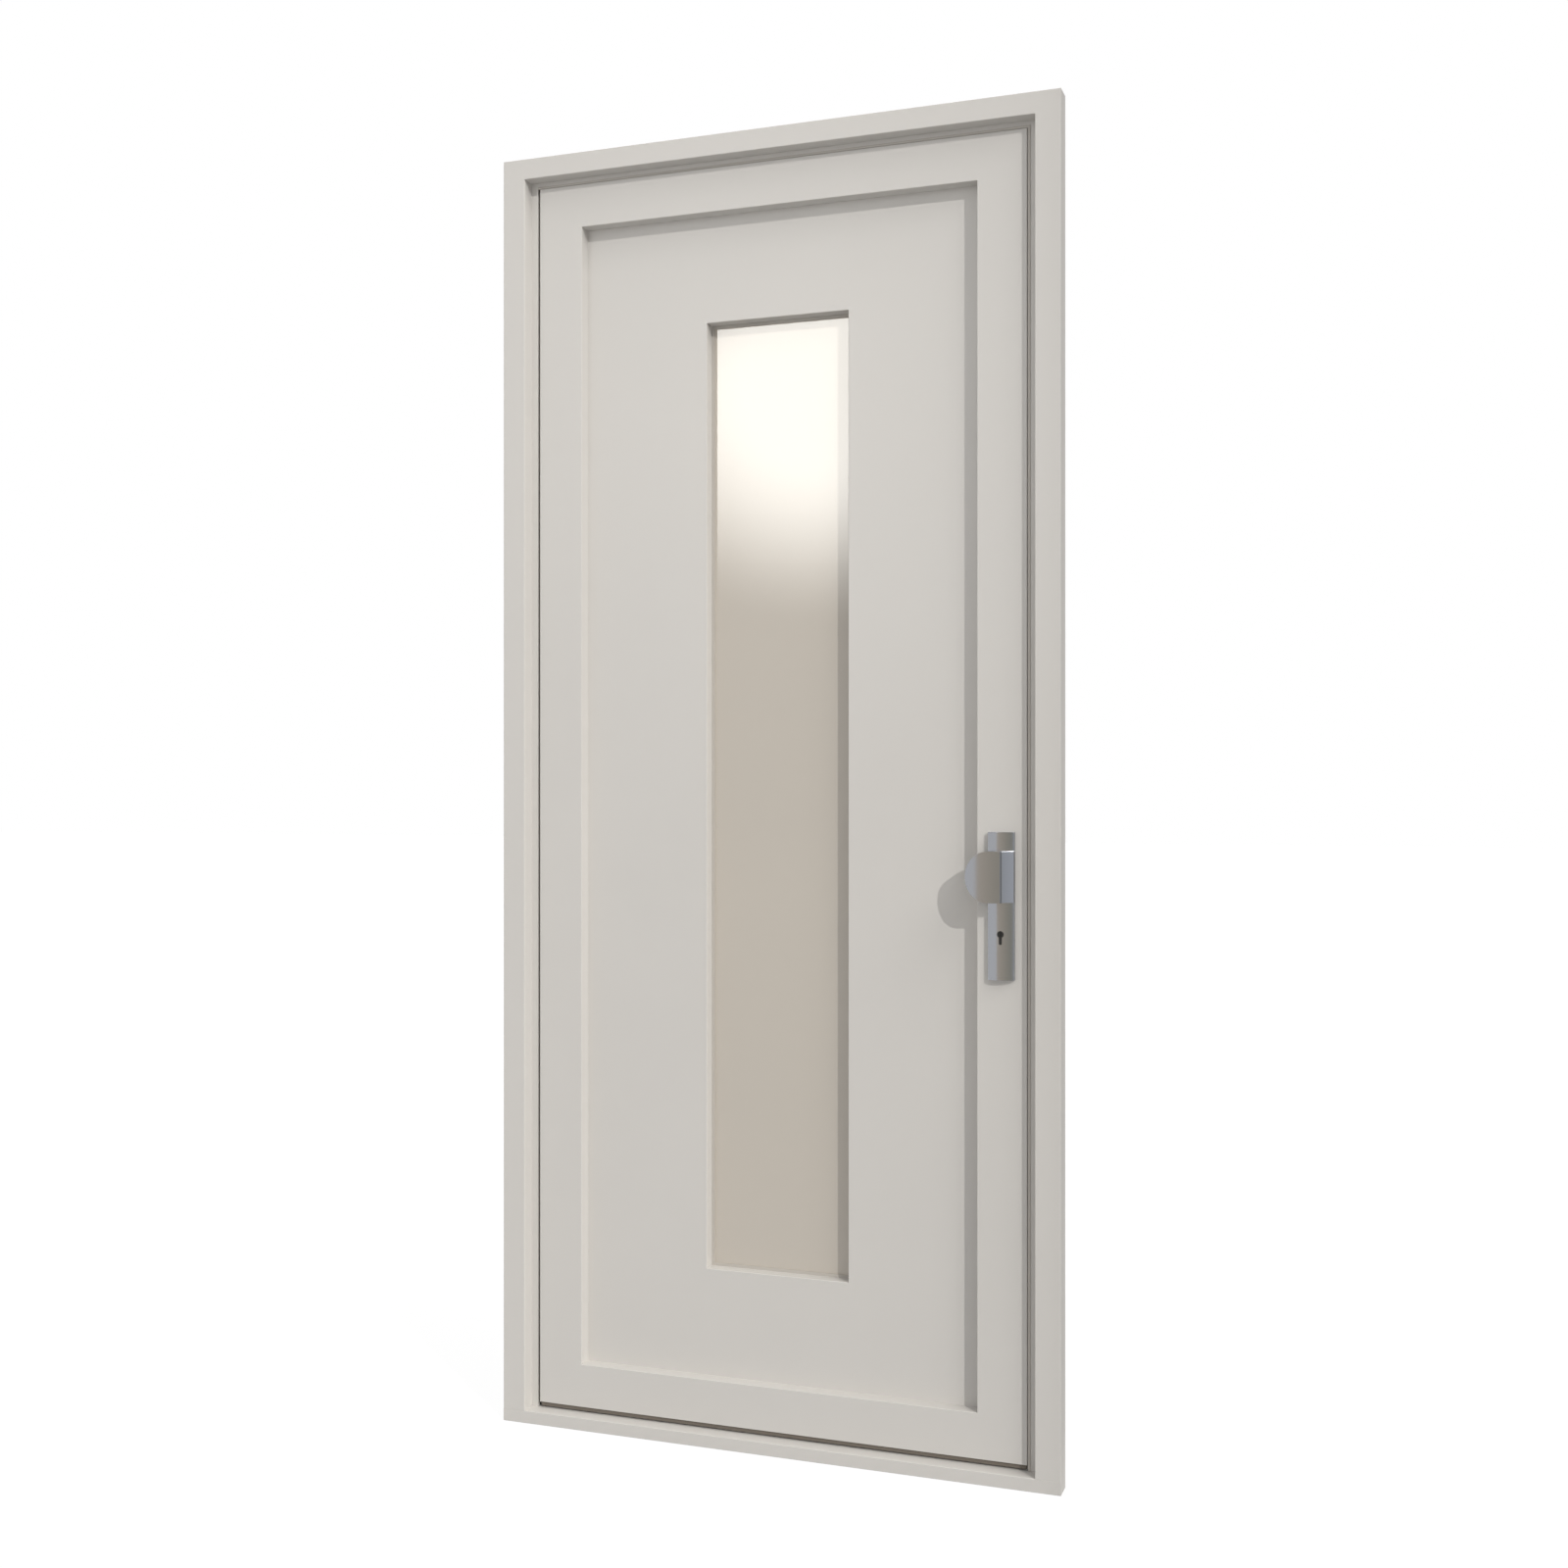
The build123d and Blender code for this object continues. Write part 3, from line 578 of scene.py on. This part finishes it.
def make_lock_screws():
    """Screws of the inside plate, the faceplate and the strike plate."""
    crest = LEAF_BACK + PLATE_EDGE + PLATE_CROWN
    lock_heights = (LOCK_Z - LOCK_SCREW_RISE, LOCK_Z + LOCK_SCREW_RISE)
    shape = bmesh.new()
    for z in (PLATE_LOW + SCREW_INSET, PLATE_HIGH - SCREW_INSET):
        add_screw(shape, Vector((HANDLE_X, crest, z)), INWARDS, PLATE_SCREW)
    for z in lock_heights:
        add_screw(shape, Vector((LEAF_SIDE, LOCK_Y, z)), ACROSS, LOCK_SCREW)
    new_piece("leaf_lock_screws", shape, "zinc_steel", LEAF)
    shape = bmesh.new()
    for z in lock_heights:
        add_screw(shape, Vector((REBATE_SIDE, LOCK_Y, z)), -ACROSS, LOCK_SCREW)
    new_piece("strike_screws", shape, "zinc_steel", FRAME)


def make_weather_strips():
    """A soft strip on the frame's lip at the lock side and head, and one under the leaf."""
    inner, top = LIP_SIDE - STRIP_REACH, LIP_TOP - STRIP_REACH
    outline = (
        (-LIP_SIDE, top), (inner, top), (inner, SILL_TOP),
        (LIP_SIDE, SILL_TOP), (LIP_SIDE, LIP_TOP), (-LIP_SIDE, LIP_TOP),
    )
    shape = bmesh.new()
    points = [Vector((x, STRIP_FRONT, z)) for x, z in outline]
    add_prism(shape, points, INWARDS * (STRIP_BACK - STRIP_FRONT))
    ease(shape, STRIP_EASE, sharp_edges(shape))
    new_piece("frame_weather_strip", shape, "pale_gasket", FRAME)
    shape = bmesh.new()
    side, bottom = LEAF_SIDE - BOTTOM_STRIP_INSET, SILL_TOP + BOTTOM_STRIP_RISE
    add_box(shape, (-side, BOTTOM_STRIP_FRONT, bottom), (side, BOTTOM_STRIP_BACK, LEAF_LOW))
    ease(shape, STRIP_EASE, sharp_edges(shape))
    new_piece("leaf_bottom_strip", shape, "grey_rubber", LEAF)


make_plate("outside_plate", LEAF_FRONT, -1)
make_plate("inside_plate", LEAF_BACK, 1)
make_knob()
make_lever()
for place, middle in HINGE_HEIGHTS.items():
    make_hinge(place, middle)
make_lock_screws()
make_weather_strips()


def make_camera():
    """A level camera at the photograph's place and lens."""
    data = bpy.data.cameras.new("camera")
    data.lens = LENS
    data.sensor_width = SENSOR
    camera = bpy.data.objects.new("camera", data)
    camera.location = CAMERA_PLACE
    camera.rotation_euler = (math.pi / 2, 0, CAMERA_YAW)
    bpy.context.collection.objects.link(camera)
    bpy.context.scene.camera = camera


def make_sun(name, towards, strength, angle):
    """A far lamp that shines from one side."""
    data = bpy.data.lights.new(name, "SUN")
    data.energy = strength
    data.angle = angle
    data.color = linear("#fffdf9")[:3]
    sun = bpy.data.objects.new(name, data)
    sun.rotation_euler = towards.to_track_quat("Z", "Y").to_euler()
    bpy.context.collection.objects.link(sun)


def stage_plane(name, size, middle, towards, material):
    """A stage plane that faces a point and that the camera looks through."""
    shape = bmesh.new()
    bmesh.ops.create_grid(shape, x_segments=1, y_segments=1, size=0.5)
    bmesh.ops.scale(shape, vec=(*size, 1), verts=shape.verts)
    mesh = bpy.data.meshes.new(name)
    shape.to_mesh(mesh)
    shape.free()
    mesh.materials.append(material)
    plane = bpy.data.objects.new(name, mesh)
    plane.location = middle
    plane.rotation_euler = (towards - middle).to_track_quat("Z", "Y").to_euler()
    plane.visible_camera = False
    plane.visible_shadow = False
    bpy.context.collection.objects.link(plane)
    return plane


def make_card():
    """A soft white card at the upper left in front, which only gloss shows: the pane mirrors it."""
    material, tree = new_material("soft_card")
    place = add_node(tree, "ShaderNodeTexCoord").outputs["Object"]
    reach = add_node(tree, "ShaderNodeVectorMath", {0: place}, operation="LENGTH")
    fade = add_node(tree, "ShaderNodeMapRange", {
        "Value": reach.outputs["Value"], "From Min": CARD_REACH, "From Max": CARD_REACH * CARD_CORE,
        "To Min": 0.0, "To Max": CARD_STRENGTH,
    }, interpolation_type="SMOOTHSTEP")
    glow = add_node(tree, "ShaderNodeEmission", {
        "Color": linear("#fffdf8"), "Strength": fade.outputs["Result"],
    })
    clear = add_node(tree, "ShaderNodeBsdfTransparent")
    both = add_node(tree, "ShaderNodeAddShader", {0: glow.outputs["Emission"], 1: clear.outputs["BSDF"]})
    close_material(tree, both)
    size = (2 * CARD_REACH, 2 * CARD_REACH)
    card = stage_plane("soft_card", size, CARD_MIDDLE, Vector((0, 0, CARD_MIDDLE.z)), material)
    card.visible_diffuse = False


def make_screen():
    """A grey screen before the handle, warm at the left and cool at the right, which only gloss shows."""
    width = SCREEN_RIGHT - SCREEN_LEFT
    material, tree = new_material("grey_screen")
    place = add_node(tree, "ShaderNodeTexCoord").outputs["Object"]
    sides = add_node(tree, "ShaderNodeSeparateXYZ", {"Vector": place})
    across = add_node(tree, "ShaderNodeMapRange", {
        "Value": sides.outputs["X"], "From Min": width / 2, "From Max": -width / 2,
    })
    tone = add_node(tree, "ShaderNodeValToRGB", {"Fac": across.outputs["Result"]})
    for end, colour in zip(tone.color_ramp.elements, ("#f0e1cd", "#e9effd")):
        end.color = linear(colour)
    tone.color_ramp.elements.new(SCREEN_DARKEST).color = linear("#b9b7a8")
    close_material(tree, add_node(tree, "ShaderNodeEmission", {
        "Color": tone.outputs["Color"], "Strength": 1.0,
    }))
    middle = Vector(((SCREEN_LEFT + SCREEN_RIGHT) / 2, SCREEN_Y, SCREEN_Z))
    screen = stage_plane("grey_screen", (width, SCREEN_HEIGHT), middle, middle + INWARDS, material)
    screen.visible_diffuse = False


def make_flag():
    """A black flag beside the frame on the right: it keeps the outer side darker than the face."""
    material, tree = new_material("black_flag")
    close_material(tree, add_node(tree, "ShaderNodeBsdfDiffuse", {"Color": linear("#050505")}))
    middle = Vector((FLAG_X, (FLAG_FRONT + FLAG_BACK) / 2, FLAG_Z))
    size = (FLAG_BACK - FLAG_FRONT, FLAG_HEIGHT)
    flag = stage_plane("black_flag", size, middle, middle - ACROSS, material)
    flag.visible_glossy = False


def make_world():
    """An even white surround: plain ambient light, and pure white where it is seen or mirrored."""
    world = bpy.data.worlds.new("white_surround")
    bpy.context.scene.world = world
    world.use_nodes = True
    tree = world.node_tree
    tree.nodes.clear()
    path = add_node(tree, "ShaderNodeLightPath")
    seen = add_node(tree, "ShaderNodeMath", {
        0: path.outputs["Is Camera Ray"], 1: path.outputs["Is Glossy Ray"],
    }, operation="MAXIMUM")
    white = add_node(tree, "ShaderNodeMath", {
        0: seen.outputs["Value"], 1: path.outputs["Is Transmission Ray"],
    }, operation="MAXIMUM")
    level = add_node(tree, "ShaderNodeMapRange", {
        "Value": white.outputs["Value"], "To Min": WORLD_STRENGTH, "To Max": 1.0,
    })
    surround = add_node(tree, "ShaderNodeBackground", {
        "Color": linear("#ffffff"), "Strength": level.outputs["Result"],
    })
    add_node(tree, "ShaderNodeOutputWorld", {"Surface": surround.outputs["Background"]})


def make_floor():
    """A wide pale floor under the threshold, white to the camera, with the door's shadow kept faint."""
    material, tree = new_material("white_floor")
    path = add_node(tree, "ShaderNodeLightPath")
    seen = add_node(tree, "ShaderNodeMath", {
        0: path.outputs["Is Camera Ray"], 1: path.outputs["Is Glossy Ray"],
    }, operation="MAXIMUM")
    share = add_node(tree, "ShaderNodeMath", {
        0: seen.outputs["Value"], 1: FLOOR_WHITE_SHARE,
    }, operation="MULTIPLY")
    plain = add_node(tree, "ShaderNodeBsdfDiffuse", {"Color": linear("#b4b4b4")})
    white = add_node(tree, "ShaderNodeEmission", {"Color": linear("#ffffff"), "Strength": FLOOR_WHITE})
    close_material(tree, add_node(tree, "ShaderNodeMixShader", {
        0: share.outputs["Value"], 1: plain.outputs["BSDF"], 2: white.outputs["Emission"],
    }))
    mesh = bpy.data.meshes.new("floor")
    shape = bmesh.new()
    bmesh.ops.create_grid(shape, x_segments=1, y_segments=1, size=FLOOR_REACH)
    bmesh.ops.translate(shape, verts=shape.verts, vec=(0, 0, cad_low.z - FLOOR_DROP))
    shape.to_mesh(mesh)
    shape.free()
    mesh.materials.append(material)
    floor = bpy.data.objects.new("floor", mesh)
    bpy.context.collection.objects.link(floor)


make_camera()
make_sun("key_sun", SUN_TOWARDS, SUN_STRENGTH, SUN_ANGLE)
make_sun("side_sun", SIDE_TOWARDS, SIDE_STRENGTH, SIDE_ANGLE)
make_sun("back_sun", BACK_TOWARDS, BACK_STRENGTH, BACK_ANGLE)
make_card()
make_screen()
make_flag()
make_world()
make_floor()
bpy.context.scene.view_settings.view_transform = "Standard"
